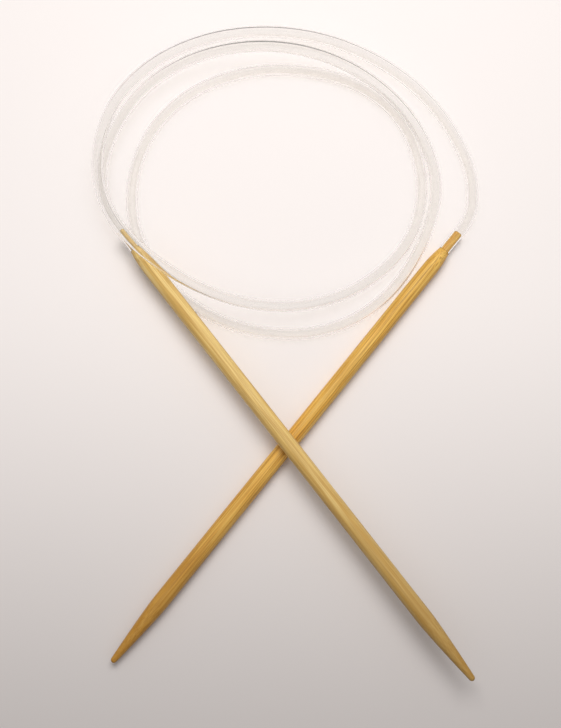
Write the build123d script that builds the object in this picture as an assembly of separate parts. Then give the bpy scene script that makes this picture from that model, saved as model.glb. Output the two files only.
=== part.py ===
from build123d import *
import math
import os

# Circular knitting needle: two bamboo needles joined by one length of clear PVC tube, as it lies.
# Millimetres, +Z up. The origin is on the table, under the middle of the box round the two needles.

# Needles
needle_diameter = 4.5  # the knitting size, US 7
left_needle_length = 147.0  # shoulder to tip
right_needle_length = 144.4
point_length = 20.0  # the tapered working end
point_middle_diameter = 3.3
nose_diameter = 1.7  # the point ends in half a ball
collar_length = 7.0  # the shaft thins towards the shoulder, down to the tube's diameter
shoulder_diameter = 3.2
shoulder_edge = 0.15

# Tenon: the turned stub that the tube is pushed over
tenon_length = 6.5
tenon_chamfer = 0.25
tenon_clearance = 0.03  # tenon to bore, on the radius

# Tube
tube_diameter = 3.2
tube_bore = 2.4
end_run = 5.0  # first run of the tube, in line with its needle
arc_share = 0.45  # of the shorter run, that each arc's tangent takes

# How the needles lie: the right one flat on the table, the left one over a turn of tube and the right one
right_shoulder_x, right_shoulder_y = 43.0, 55.5
right_heading = -129.0  # degrees from +X, shoulder to tip
left_shoulder_x, left_shoulder_y = -42.95, 55.35
left_heading = -51.95
rest_gap = 0.25  # kept between pieces that lie on each other
tube_under_left = 9.0  # from the left shoulder to the turn of tube below it
needle_under_left = 68.0  # from the left shoulder to the right needle below it

# Route of the tube between its two end runs, from the right needle to the left one
tube_route = [
    # up from the right needle and over the top, rising
    (49.6, 63.65, 2.2), (51.7, 69.9, 1.9), (50.6, 82.3, 1.7), (40.5, 99.1, 2.4), (26.8, 110.4, 3.0),
    (10.0, 117.5, 3.7), (-8.0, 119.4, 4.6), (-25.8, 116.3, 5.5), (-41.9, 107.3, 6.6),
    # down the left side on top of the last turn, over the left needle's collar and across the middle
    (-52.2, 92.8, 8.2), (-54.2, 73.4, 9.5), (-46.1, 58.2, 9.8), (-31.0, 46.5, 9.1), (-14.7, 39.7, 7.4),
    (3.5, 38.7, 5.4), (20.6, 44.9, 3.5), (34.0, 57.8, 2.0),
    # the inner turn, flat on the table
    (38.3, 75.3, 1.6), (32.8, 93.9, 1.6), (19.4, 105.1, 1.6), (0.8, 109.3, 1.6), (-16.8, 107.6, 1.6),
    (-33.5, 99.1, 1.6), (-43.6, 84.2, 1.6), (-45.6, 65.6, 1.6), (-38.0, 48.9, 1.6), (-23.8, 37.2, 1.6),
    (-6.7, 31.7, 1.6), (12.0, 32.8, 1.6), (27.1, 41.9, 1.6), (37.7, 57.6, 1.6),
    # the last turn, arching over the top and down to the left needle
    (42.3, 74.9, 2.7), (35.7, 92.2, 4.3), (22.6, 105.0, 5.8), (6.1, 112.3, 7.1), (-12.0, 113.8, 7.7),
    (-29.9, 109.8, 6.5), (-44.5, 99.7, 5.2), (-53.2, 82.2, 5.1), (-52.2, 69.6, 5.15), (-49.4, 63.6, 5.27),
]

needle_radius = needle_diameter / 2
bore_radius = tube_bore / 2
tenon_radius = bore_radius - tenon_clearance


def heading_vector(degrees, slope=0.0):
    """Unit vector along a needle, from its shoulder to its tip."""
    turn = math.radians(degrees)
    return Vector(math.cos(turn), math.sin(turn), slope).normalized()


def left_lie():
    """Shoulder and direction of the left needle, from the two things that it rests on."""
    over_tube = tube_diameter + rest_gap + needle_radius
    over_needle = needle_diameter + rest_gap + needle_radius
    slope = (over_needle - over_tube) / (needle_under_left - tube_under_left)
    shoulder_z = over_tube - slope * tube_under_left
    return Vector(left_shoulder_x, left_shoulder_y, shoulder_z), heading_vector(left_heading, slope)


def right_lie():
    """Shoulder and direction of the right needle, flat on the table."""
    return Vector(right_shoulder_x, right_shoulder_y, needle_radius), heading_vector(right_heading)


def make_needle(length, shoulder, direction):
    """One needle, turned about its own axis: tenon, collar, shaft, point and rounded nose."""
    tenon_end = -tenon_length
    point_start = length - point_length
    nose_radius = nose_diameter / 2
    nose_start = length - nose_radius
    shoulder_radius = shoulder_diameter / 2
    tenon_and_shoulder = Polyline(
        (0, tenon_end),
        (tenon_radius - tenon_chamfer, tenon_end),
        (tenon_radius, tenon_end + tenon_chamfer),
        (tenon_radius, 0),
        (shoulder_radius - shoulder_edge, 0),
        (shoulder_radius, shoulder_edge),
    )
    collar = Spline(
        (shoulder_radius, shoulder_edge), (needle_radius, collar_length),
        tangents=[(needle_radius - shoulder_radius, collar_length / 2), (0, 1)],
    )
    shaft = Line((needle_radius, collar_length), (needle_radius, point_start))
    point = Spline(
        (needle_radius, point_start),
        (point_middle_diameter / 2, point_start + point_length / 2),
        (nose_radius, nose_start),
        tangents=[(0, 1), (nose_radius - needle_radius, point_length)],
    )
    nose = CenterArc((0, nose_start), nose_radius, 0, 90)
    axis_line = Line((0, length), (0, tenon_end))
    outline = tenon_and_shoulder + collar + shaft + point + nose + axis_line
    turned = revolve(make_face(Plane.XZ * outline), Axis.Z)
    return Plane(origin=shoulder, z_dir=direction) * turned


def tube_points():
    """The whole route: an end run in line with each needle, and the chosen points between them."""
    right_shoulder, right_direction = right_lie()
    left_shoulder, left_direction = left_lie()
    start = [right_shoulder, right_shoulder - right_direction * end_run]
    finish = [left_shoulder - left_direction * end_run, left_shoulder]
    return start + [Vector(*point) for point in tube_route] + finish


def arc_radii(points):
    """Radius of the arc at each inner point of the route, as large as its two runs allow."""
    radii = []
    for before, here, after in zip(points, points[1:], points[2:]):
        arriving, leaving = here - before, after - here
        shorter = min(arriving.length, leaving.length)
        half_turn = math.radians(arriving.get_angle(leaving)) / 2
        radii.append(arc_share * shorter / math.tan(half_turn))
    return radii


def make_tube():
    """The clear tube, hollow, face to face with both shoulders."""
    points = tube_points()
    radii = arc_radii(points)
    path = FilletPolyline(*points, radius=radii)
    section = Plane(origin=path @ 0, z_dir=path % 0) * (Circle(tube_diameter / 2) - Circle(bore_radius))
    tube = sweep(section, path=path)
    expected = math.pi / 4 * (tube_diameter**2 - tube_bore**2) * path.length
    print("arc radii", [round(radius, 1) for radius in radii], "smallest", round(min(radii), 1))
    print("tube length", round(path.length, 1))
    print("tube volume", round(tube.volume, 1), "section x length", round(expected, 1))
    return tube


os.makedirs("parts", exist_ok=True)
nodes = {
    "left_needle": make_needle(left_needle_length, *left_lie()),
    "right_needle": make_needle(right_needle_length, *right_lie()),
    "clear_tube": make_tube(),
}
for name, solid in nodes.items():
    export_step(solid, f"parts/{name}.step")

needles_box = (nodes["left_needle"] + nodes["right_needle"]).bounding_box()
print("needles from", needles_box.min, "to", needles_box.max)
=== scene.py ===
import math
import bmesh
import bpy
from mathutils import Matrix, Vector, noise


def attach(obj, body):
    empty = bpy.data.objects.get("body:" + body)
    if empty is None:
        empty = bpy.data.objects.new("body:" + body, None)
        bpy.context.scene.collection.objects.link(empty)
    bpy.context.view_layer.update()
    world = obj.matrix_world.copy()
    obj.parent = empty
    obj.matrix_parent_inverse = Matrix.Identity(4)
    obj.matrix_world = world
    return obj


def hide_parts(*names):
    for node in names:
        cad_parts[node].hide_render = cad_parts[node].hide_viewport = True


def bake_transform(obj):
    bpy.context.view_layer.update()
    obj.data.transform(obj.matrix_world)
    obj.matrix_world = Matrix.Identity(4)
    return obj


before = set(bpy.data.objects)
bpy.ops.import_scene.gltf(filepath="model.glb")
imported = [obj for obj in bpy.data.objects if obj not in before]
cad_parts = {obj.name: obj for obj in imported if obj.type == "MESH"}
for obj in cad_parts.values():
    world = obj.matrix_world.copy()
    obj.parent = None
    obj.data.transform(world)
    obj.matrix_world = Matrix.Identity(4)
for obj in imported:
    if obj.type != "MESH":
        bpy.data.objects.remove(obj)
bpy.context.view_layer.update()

# Circular knitting needle in metres: two bamboo needles and one clear tube, lying on a table.
toMillimetres = 1000
crispEdge = math.radians(50)  # edges that turn further than this aren't shaded smooth


# Camera, above the needles and tilted a little towards the coil
cameraSettings = {
    "place": (-0.0028, -0.01266, 0.29776),
    "tilt": 7.0,  # degrees off straight down
    "lens": 53.26,
    "sensor": 36.0,
    "nearest": 0.01,
}


def makeCamera(s):
    data = bpy.data.cameras.new("camera")
    data.lens = s["lens"]
    data.sensor_width = s["sensor"]
    data.clip_start = s["nearest"]
    camera = bpy.data.objects.new("camera", data)
    camera.location = s["place"]
    camera.rotation_euler = (math.radians(s["tilt"]), 0, 0)
    bpy.context.scene.collection.objects.link(camera)
    bpy.context.scene.camera = camera
    print("camera placed")


# Clear tube, one hollow length on a smooth route from the right needle to the left one
tubeSettings = {
    "diameter": 0.0032,
    "wall": 0.0004,
    "length": 0.709,
    "ringsPerPoint": 22,
    "cornersRound": 18,
    # two planes across the free stretch beside the right needle, where the tube bends; the first one
    # also meets the outer skin of the last turn, which bulges a little when that needle swings
    "bendStart": (0.04676, 0.08570, 0.002),
    "bendEnd": (0.05010, 0.08465, 0.002),
    "route": [
        # out of the right needle, up and over the top, rising
        (0.0430, 0.0555, 0.00225), (0.04615, 0.05939, 0.00225), (0.0496, 0.06365, 0.0022),
        (0.0517, 0.0699, 0.0019), (0.0506, 0.0823, 0.0017), (0.0405, 0.0991, 0.0024),
        (0.0268, 0.1104, 0.0030), (0.0100, 0.1175, 0.0037), (-0.0080, 0.1194, 0.0046),
        (-0.0258, 0.1163, 0.0055), (-0.0419, 0.1073, 0.0066),
        # down the left side on top of the last turn, over the left needle's collar and across the middle
        (-0.0522, 0.0928, 0.0082), (-0.0542, 0.0734, 0.0095), (-0.0461, 0.0582, 0.0098),
        (-0.0310, 0.0465, 0.0091), (-0.0147, 0.0397, 0.0074), (0.0035, 0.0387, 0.0054),
        (0.0206, 0.0449, 0.0035), (0.0340, 0.0578, 0.0020),
        # the inner turn, flat on the table
        (0.0383, 0.0753, 0.0016), (0.0328, 0.0939, 0.0016), (0.0194, 0.1051, 0.0016),
        (0.0008, 0.1093, 0.0016), (-0.0168, 0.1076, 0.0016), (-0.0335, 0.0991, 0.0016),
        (-0.0436, 0.0842, 0.0016), (-0.0456, 0.0656, 0.0016), (-0.0380, 0.0489, 0.0016),
        (-0.0238, 0.0372, 0.0016), (-0.0067, 0.0317, 0.0016), (0.0120, 0.0328, 0.0016),
        (0.0271, 0.0419, 0.0016), (0.0377, 0.0576, 0.0016),
        # the last turn, arching over the top and down to the left needle
        (0.0423, 0.0749, 0.0027), (0.0357, 0.0922, 0.0043), (0.0226, 0.1050, 0.0058),
        (0.0061, 0.1123, 0.0071), (-0.0120, 0.1138, 0.0077), (-0.0299, 0.1098, 0.0065),
        (-0.0445, 0.0997, 0.0052), (-0.0532, 0.0822, 0.0051), (-0.0522, 0.0696, 0.00515),
        (-0.0494, 0.0636, 0.00527), (-0.04603, 0.05929, 0.00539), (-0.04295, 0.05535, 0.0055),
    ],
}


def makeRoute(s):
    curve = bpy.data.curves.new("tubeRoute", "CURVE")
    curve.dimensions = "3D"
    curve.resolution_u = s["ringsPerPoint"]
    spline = curve.splines.new("NURBS")
    spline.points.add(len(s["route"]) - 1)
    for point, place in zip(spline.points, s["route"]):
        point.co = (*place, 1.0)
    spline.order_u = 3
    spline.use_endpoint_u = True
    return curve


def makeTube(s):
    route = bpy.data.objects.new("tubeRoute", makeRoute(s))
    bpy.context.scene.collection.objects.link(route)
    line = bpy.data.meshes.new_from_object(route)

    # the same line with its round section, then the wall inwards from it
    route.data.bevel_depth = s["diameter"] / 2
    route.data.bevel_resolution = s["cornersRound"]
    wall = route.modifiers.new("wall", "SOLIDIFY")
    wall.thickness = s["wall"]
    wall.offset = -1
    wall.use_rim = True
    graph = bpy.context.evaluated_depsgraph_get()
    mesh = bpy.data.meshes.new_from_object(route.evaluated_get(graph), depsgraph=graph)
    bpy.data.objects.remove(route)

    mesh.name = "clearTube"
    mesh.set_sharp_from_angle(angle=crispEdge)
    tube = bpy.data.objects.new("clearTube", mesh)
    bpy.context.scene.collection.objects.link(tube)
    mesh.materials.clear()
    mesh.materials.append(makeClearPvc(pvcSettings))
    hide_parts("clear_tube")
    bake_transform(tube)
    print("tube made,", len(mesh.polygons), "faces")


# Needles, turned to one outline and each laid in its own place
needleSettings = {
    "leftNeedle": {
        "node": "left_needle", "slot": "pale_bamboo", "body": "left_and_tube",
        "shoulder": (-0.04295, 0.05535, 0.0055), "heading": -51.95, "slope": 0.02203,
        "length": 0.1470, "seed": 3.0,
    },
    "rightNeedle": {
        "node": "right_needle", "slot": "amber_bamboo", "body": "right",
        "shoulder": (0.0430, 0.0555, 0.00225), "heading": -129.0, "slope": 0.0,
        "length": 0.1444, "seed": 11.0,
    },
}
turningSettings = {
    "shaftRadius": 0.00225,
    "shoulderRadius": 0.0016,
    "shoulderEdge": 0.00015,
    "collar": 0.0070,
    "tenonRadius": 0.00117,
    "tenonLength": 0.0065,
    "tenonChamfer": 0.00025,
    "point": 0.0200,
    "pointBelly": 1.30,  # 1 is a plain cone, more is fuller
    "noseRadius": 0.00085,
    "corners": 72,
    "collarRings": 10,
    "shaftRings": 90,
    "pointRings": 24,
    "noseRings": 8,
    "weld": 1e-7,
    "grain": 0.000018,  # how deep the fibres stand out
    "fibresAround": 9,
    "fibresAlong": 22,
    "plainNose": 0.5,  # the share of the nose's radius, from its middle, that has no fibres
}


def needleOutline(s, length):
    tenonEnd = -s["tenonLength"]
    outline = [
        (0, tenonEnd),
        (s["tenonRadius"] - s["tenonChamfer"], tenonEnd),
        (s["tenonRadius"], tenonEnd + s["tenonChamfer"]),
        (s["tenonRadius"], 0),
        (s["shoulderRadius"] - s["shoulderEdge"], 0),
    ]
    # the collar swells to the full size
    swell = s["shaftRadius"] - s["shoulderRadius"]
    for ring in range(s["collarRings"] + 1):
        share = ring / s["collarRings"]
        radius = s["shoulderRadius"] + swell * (1 - (1 - share) ** 2)
        outline.append((radius, s["shoulderEdge"] + share * (s["collar"] - s["shoulderEdge"])))
    shaftEnd = length - s["point"]
    for ring in range(1, s["shaftRings"] + 1):
        share = ring / s["shaftRings"]
        outline.append((s["shaftRadius"], s["collar"] + share * (shaftEnd - s["collar"])))
    # the point narrows to a half ball
    noseStart = length - s["noseRadius"]
    narrowing = s["shaftRadius"] - s["noseRadius"]
    for ring in range(1, s["pointRings"] + 1):
        share = ring / s["pointRings"]
        radius = s["shaftRadius"] - narrowing * share ** s["pointBelly"]
        outline.append((radius, shaftEnd + share * (noseStart - shaftEnd)))
    for ring in range(1, s["noseRings"] + 1):
        turn = math.pi / 2 * ring / s["noseRings"]
        radius = s["noseRadius"] * math.cos(turn)
        outline.append((radius, noseStart + s["noseRadius"] * math.sin(turn)))
    return outline


def makeNeedle(name, s, turned):
    bm = bmesh.new()
    outline = needleOutline(turned, s["length"])
    verts = [bm.verts.new((radius, 0, along)) for radius, along in outline]
    edges = [bm.edges.new(pair) for pair in zip(verts, verts[1:])]
    bmesh.ops.spin(
        bm, geom=verts + edges, cent=(0, 0, 0), axis=(0, 0, 1), angle=math.tau,
        steps=turned["corners"], use_merge=True,
    )
    bmesh.ops.remove_doubles(bm, verts=bm.verts, dist=turned["weld"])
    bmesh.ops.recalc_face_normals(bm, faces=bm.faces)

    # fibres stand out along the needle, the same all the way except where they drift
    for vert in bm.verts:
        radius = math.hypot(vert.co.x, vert.co.y)
        if vert.co.z > 0 and radius > turned["noseRadius"] * turned["plainNose"]:
            around = Vector((vert.co.x, vert.co.y, 0)) / radius
            spot = Vector((
                around.x * turned["fibresAround"],
                around.y * turned["fibresAround"],
                vert.co.z * turned["fibresAlong"] + s["seed"],
            ))
            vert.co -= around * turned["grain"] * (noise.noise(spot) + 1)
    for face in bm.faces:
        face.smooth = True

    mesh = bpy.data.meshes.new(name)
    bm.to_mesh(mesh)
    bm.free()
    # fibre streaks follow the needle, so its own coordinates are kept, in millimetres
    local = mesh.attributes.new("needleSpace", "FLOAT_VECTOR", "POINT")
    for vert, value in zip(mesh.vertices, local.data):
        value.vector = vert.co * toMillimetres
    turn = math.radians(s["heading"])
    direction = Vector((math.cos(turn), math.sin(turn), s["slope"])).normalized()
    place = Matrix.Translation(s["shoulder"]) @ direction.to_track_quat("Z", "Y").to_matrix().to_4x4()
    mesh.transform(place)
    mesh.set_sharp_from_angle(angle=crispEdge)

    needle = bpy.data.objects.new(name, mesh)
    bpy.context.scene.collection.objects.link(needle)
    mesh.materials.append(makeBamboo(name, bambooSettings[s["slot"]], grainSettings, s))
    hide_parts(s["node"])
    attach(needle, s["body"])
    print(name, "made,", len(mesh.polygons), "faces")


# Materials, clear PVC and bamboo in two colours
pvcSettings = {
    "colour": (0.996, 0.993, 0.985, 1),
    "roughness": 0.0,
    "ior": 1.50,
    "shadow": (0.957, 0.953, 0.947, 1),  # what each surface lets through of the lamps
    "waveScale": 160,
    "waveDetail": 2,
    "waveStrength": 0.1,
    "waveDepth": 0.00004,
}
bambooSettings = {
    "pale_bamboo": {
        "ground": (0.74, 0.475, 0.135, 1), "light": (0.95, 0.71, 0.28, 1), "dark": (0.44, 0.23, 0.05, 1),
        "tip": (0.36, 0.19, 0.035, 1), "tipLength": 95, "streaks": 0.65, "roughness": 0.50,
    },
    "amber_bamboo": {
        "ground": (0.82, 0.44, 0.068, 1), "light": (0.97, 0.62, 0.15, 1), "dark": (0.34, 0.14, 0.018, 1),
        "tip": (0.38, 0.165, 0.015, 1), "tipLength": 85, "streaks": 0.75, "roughness": 0.46,
    },
}
# what both needles' wood has in common; a band is the part of the noise over which a colour comes in
grainSettings = {
    "broad": {"stretch": (0.9, 0.9, 0.03), "detail": 3.0, "shift": 0, "band": (0.35, 0.65)},
    "fine": {"stretch": (4.6, 4.6, 0.05), "detail": 4, "shift": 5, "band": (0.46, 0.60)},
    "lines": {"stretch": (8.0, 8.0, 0.05), "detail": 1, "shift": 9, "band": (0.55, 0.63)},
    "noiseRoughness": 0.6,
    "fineShare": 0.6,
    "tipShare": 0.75,
    "smoother": 0.06,
    "rougher": 0.10,
    "bumpStrength": 0.35,
    "bumpDepth": 0.00004,
}


def newMaterial(name):
    material = bpy.data.materials.new(name)
    material.use_nodes = True
    material.node_tree.nodes.clear()
    return material, material.node_tree.nodes, material.node_tree.links


def makeClearPvc(s):
    material, nodes, links = newMaterial("clearPvc")
    output = nodes.new("ShaderNodeOutputMaterial")
    pvc = nodes.new("ShaderNodeBsdfPrincipled")
    pvc.inputs["Base Color"].default_value = s["colour"]
    pvc.inputs["Roughness"].default_value = s["roughness"]
    pvc.inputs["IOR"].default_value = s["ior"]
    pvc.inputs["Transmission Weight"].default_value = 1.0
    lampThrough = nodes.new("ShaderNodeBsdfTransparent")
    lampThrough.inputs["Color"].default_value = s["shadow"]
    rays = nodes.new("ShaderNodeLightPath")
    mix = nodes.new("ShaderNodeMixShader")
    links.new(rays.outputs["Is Shadow Ray"], mix.inputs["Fac"])
    links.new(pvc.outputs["BSDF"], mix.inputs[1])
    links.new(lampThrough.outputs["BSDF"], mix.inputs[2])
    links.new(mix.outputs["Shader"], output.inputs["Surface"])

    # faint waviness left by drawing the tube
    coords = nodes.new("ShaderNodeTexCoord")
    waves = nodes.new("ShaderNodeTexNoise")
    waves.inputs["Scale"].default_value = s["waveScale"]
    waves.inputs["Detail"].default_value = s["waveDetail"]
    bump = nodes.new("ShaderNodeBump")
    bump.inputs["Strength"].default_value = s["waveStrength"]
    bump.inputs["Distance"].default_value = s["waveDepth"]
    links.new(coords.outputs["Object"], waves.inputs["Vector"])
    links.new(waves.outputs["Fac"], bump.inputs["Height"])
    links.new(bump.outputs["Normal"], pvc.inputs["Normal"])
    return material


def stretchedNoise(nodes, links, source, s, roughness, seed):
    shift = seed + s["shift"]
    mapping = nodes.new("ShaderNodeMapping")
    mapping.inputs["Scale"].default_value = s["stretch"]
    mapping.inputs["Location"].default_value = (shift, shift, shift)
    texture = nodes.new("ShaderNodeTexNoise")
    texture.inputs["Scale"].default_value = 1.0
    texture.inputs["Detail"].default_value = s["detail"]
    texture.inputs["Roughness"].default_value = roughness
    links.new(source, mapping.inputs["Vector"])
    links.new(mapping.outputs["Vector"], texture.inputs["Vector"])
    return texture.outputs["Fac"]


def band(nodes, links, value, low, high):
    ramp = nodes.new("ShaderNodeMapRange")
    ramp.interpolation_type = "SMOOTHSTEP"
    ramp.inputs["From Min"].default_value = low
    ramp.inputs["From Max"].default_value = high
    links.new(value, ramp.inputs["Value"])
    return ramp.outputs["Result"]


def mixColour(nodes, links, factor, first, second, strength=1.0):
    mix = nodes.new("ShaderNodeMix")
    mix.data_type = "RGBA"
    share = nodes.new("ShaderNodeMath")
    share.operation = "MULTIPLY"
    share.inputs[1].default_value = strength
    links.new(factor, share.inputs[0])
    links.new(share.outputs["Value"], mix.inputs["Factor"])
    for socket, value in ((mix.inputs["A"], first), (mix.inputs["B"], second)):
        if isinstance(value, tuple):
            socket.default_value = value
        else:
            links.new(value, socket)
    return mix.outputs["Result"]


def makeBamboo(name, s, grain, needle):
    material, nodes, links = newMaterial(name + "Bamboo")
    output = nodes.new("ShaderNodeOutputMaterial")
    wood = nodes.new("ShaderNodeBsdfPrincipled")
    links.new(wood.outputs["BSDF"], output.inputs["Surface"])
    space = nodes.new("ShaderNodeAttribute")
    space.attribute_name = "needleSpace"
    source = space.outputs["Vector"]

    rough, seed = grain["noiseRoughness"], needle["seed"]
    broad = stretchedNoise(nodes, links, source, grain["broad"], rough, seed)
    fine = stretchedNoise(nodes, links, source, grain["fine"], rough, seed)
    lines = stretchedNoise(nodes, links, source, grain["lines"], rough, seed)
    patches = band(nodes, links, broad, *grain["broad"]["band"])
    colour = mixColour(nodes, links, patches, s["ground"], s["light"])
    streaks = band(nodes, links, fine, *grain["fine"]["band"])
    colour = mixColour(nodes, links, streaks, colour, s["dark"], s["streaks"] * grain["fineShare"])
    darkLines = band(nodes, links, lines, *grain["lines"]["band"])
    colour = mixColour(nodes, links, darkLines, colour, s["dark"], s["streaks"])

    # the wood is darker towards the point
    separate = nodes.new("ShaderNodeSeparateXYZ")
    links.new(source, separate.inputs["Vector"])
    tipEnd = needle["length"] * toMillimetres
    nearTip = band(nodes, links, separate.outputs["Z"], tipEnd - s["tipLength"], tipEnd)
    colour = mixColour(nodes, links, nearTip, colour, s["tip"], grain["tipShare"])
    links.new(colour, wood.inputs["Base Color"])

    finish = nodes.new("ShaderNodeMapRange")
    finish.inputs["To Min"].default_value = s["roughness"] - grain["smoother"]
    finish.inputs["To Max"].default_value = s["roughness"] + grain["rougher"]
    links.new(fine, finish.inputs["Value"])
    links.new(finish.outputs["Result"], wood.inputs["Roughness"])
    bump = nodes.new("ShaderNodeBump")
    bump.inputs["Strength"].default_value = grain["bumpStrength"]
    bump.inputs["Distance"].default_value = grain["bumpDepth"]
    links.new(fine, bump.inputs["Height"])
    links.new(bump.outputs["Normal"], wood.inputs["Normal"])
    return material


# Table, its colour painted darker towards the points as painted shade where the window's light falls
# off; round it dark strips that only the tube shows, as painted dark reflections
tableSettings = {
    "size": 1.6,
    "near": (0.61, 0.575, 0.565, 1),  # towards the points, painted shade where the window's light falls off
    "far": (0.95, 0.90, 0.885, 1),  # beyond the loops, where the window's light is full
    "nearY": -0.108,
    "farY": 0.055,
    "drop": 0.00002,
    "roughness": 0.55,
    "shine": 0.25,
}


def makeTable(s):
    bm = bmesh.new()
    bmesh.ops.create_grid(bm, x_segments=1, y_segments=1, size=s["size"] / 2)
    mesh = bpy.data.meshes.new("table")
    bm.to_mesh(mesh)
    bm.free()
    mesh.transform(Matrix.Translation((0, 0, -s["drop"])))
    floor = bpy.data.objects.new("table", mesh)
    bpy.context.scene.collection.objects.link(floor)

    material, nodes, links = newMaterial("tableTop")
    output = nodes.new("ShaderNodeOutputMaterial")
    top = nodes.new("ShaderNodeBsdfPrincipled")
    top.inputs["Roughness"].default_value = s["roughness"]
    top.inputs["Specular IOR Level"].default_value = s["shine"]
    coords = nodes.new("ShaderNodeTexCoord")
    separate = nodes.new("ShaderNodeSeparateXYZ")
    links.new(coords.outputs["Object"], separate.inputs["Vector"])
    # painted shade: the table's colour darkens from beyond the loops towards the points, as the window's
    # light falls off
    away = band(nodes, links, separate.outputs["Y"], s["nearY"], s["farY"])
    links.new(mixColour(nodes, links, away, s["near"], s["far"]), top.inputs["Base Color"])
    links.new(top.outputs["BSDF"], output.inputs["Surface"])
    mesh.materials.append(material)
    print("table made")


surroundSettings = {
    "height": 0.0005,
    # painted dark reflection: a dark colour that the tube mirrors and bends into thin dark lines
    "colour": (0.03, 0.03, 0.035, 1),
    # beyond the loops, and to the right of them: x and y from, x and y to
    "strips": [((-0.30, 0.131), (0.30, 0.32)), ((0.080, -0.10), (0.30, 0.131))],
}


def makeSurround(s):
    bm = bmesh.new()
    for (left, near), (right, far) in s["strips"]:
        corners = [(left, near), (right, near), (right, far), (left, far)]
        bm.faces.new([bm.verts.new((x, y, s["height"])) for x, y in corners])
    mesh = bpy.data.meshes.new("paintedDarkReflection")
    bm.to_mesh(mesh)
    bm.free()
    surround = bpy.data.objects.new("paintedDarkReflection", mesh)
    bpy.context.scene.collection.objects.link(surround)
    # it only darkens what the tube bends and mirrors, as a painted dark reflection
    surround.visible_camera = False
    surround.visible_shadow = False
    surround.visible_diffuse = False

    material, nodes, links = newMaterial("paintedDarkReflection")
    output = nodes.new("ShaderNodeOutputMaterial")
    dark = nodes.new("ShaderNodeBsdfDiffuse")
    dark.inputs["Color"].default_value = s["colour"]
    links.new(dark.outputs["BSDF"], output.inputs["Surface"])
    mesh.materials.append(material)
    print("dark surround made")


# Light, one window made of two lamps, of which only the second glints
windowSettings = {
    "middle": (-0.0028, 0.024, 0.0),
    "towards": (0.04, 1.0),
    "distance": 0.19,
    "height": 0.39,
    "size": (0.33, 0.23),
    "power": 1.46,
    "glintShare": 0.40,  # the part that glints in the tube and on the wood, as through a blind
    "colour": (1.0, 0.985, 0.965),
}


def makeWindow(s):
    middle = Vector(s["middle"])
    away = Vector((*s["towards"], 0)).normalized() * s["distance"]
    lamps = [("window", 1 - s["glintShare"], False), ("windowGlints", s["glintShare"], True)]
    for name, share, glints in lamps:
        data = bpy.data.lights.new(name, "AREA")
        data.shape = "RECTANGLE"
        data.size, data.size_y = s["size"]
        data.energy = s["power"] * share
        data.color = s["colour"]
        lamp = bpy.data.objects.new(name, data)
        lamp.location = middle + away + Vector((0, 0, s["height"]))
        lamp.rotation_euler = (middle - lamp.location).to_track_quat("-Z", "Y").to_euler()
        lamp.visible_glossy = glints
        lamp.visible_transmission = glints
        bpy.context.scene.collection.objects.link(lamp)
    print("window made")


roomSettings = {
    "colour": (1.0, 0.97, 0.955, 1),
    "dark": 0.08,  # walls, near the horizon
    "throughTube": 0.20,  # the same walls as the clear tube bends them
    "bright": 0.45,  # ceiling
    "seen": 0.95,  # seen straight, the room is as pale as the table
    "brightSide": (0.0, 0.25, 1.0),  # up, and a little towards the window
    "wallsEnd": 0.15,
    "ceilingStart": 0.80,
}


def makeRoom(s):
    world = bpy.data.worlds.new("room")
    bpy.context.scene.world = world
    world.use_nodes = True
    nodes, links = world.node_tree.nodes, world.node_tree.links
    nodes.clear()
    output = nodes.new("ShaderNodeOutputWorld")
    background = nodes.new("ShaderNodeBackground")
    background.inputs["Color"].default_value = s["colour"]
    # the walls are darker than the ceiling, most of all on the side away from the window
    coords = nodes.new("ShaderNodeTexCoord")
    facing = nodes.new("ShaderNodeVectorMath")
    facing.operation = "DOT_PRODUCT"
    facing.inputs[1].default_value = s["brightSide"]
    links.new(coords.outputs["Generated"], facing.inputs[0])
    ramp = nodes.new("ShaderNodeMapRange")
    ramp.interpolation_type = "SMOOTHSTEP"
    ramp.inputs["From Min"].default_value = s["wallsEnd"]
    ramp.inputs["From Max"].default_value = s["ceilingStart"]
    ramp.inputs["To Max"].default_value = s["bright"]
    links.new(facing.outputs["Value"], ramp.inputs["Value"])
    rays = nodes.new("ShaderNodeLightPath")
    walls = nodes.new("ShaderNodeMix")
    walls.inputs["A"].default_value = s["dark"]
    walls.inputs["B"].default_value = s["throughTube"]
    links.new(rays.outputs["Is Transmission Ray"], walls.inputs["Factor"])
    links.new(walls.outputs["Result"], ramp.inputs["To Min"])
    seen = nodes.new("ShaderNodeMix")
    seen.inputs["B"].default_value = s["seen"]
    links.new(rays.outputs["Is Camera Ray"], seen.inputs["Factor"])
    links.new(ramp.outputs["Result"], seen.inputs["A"])
    links.new(seen.outputs["Result"], background.inputs["Strength"])
    links.new(background.outputs["Background"], output.inputs["Surface"])
    print("room made")


makeCamera(cameraSettings)
makeTube(tubeSettings)
for needleName, settings in needleSettings.items():
    makeNeedle(needleName, settings, turningSettings)
makeTable(tableSettings)
makeSurround(surroundSettings)
makeWindow(windowSettings)
makeRoom(roomSettings)
bpy.context.scene.view_settings.view_transform = "Standard"
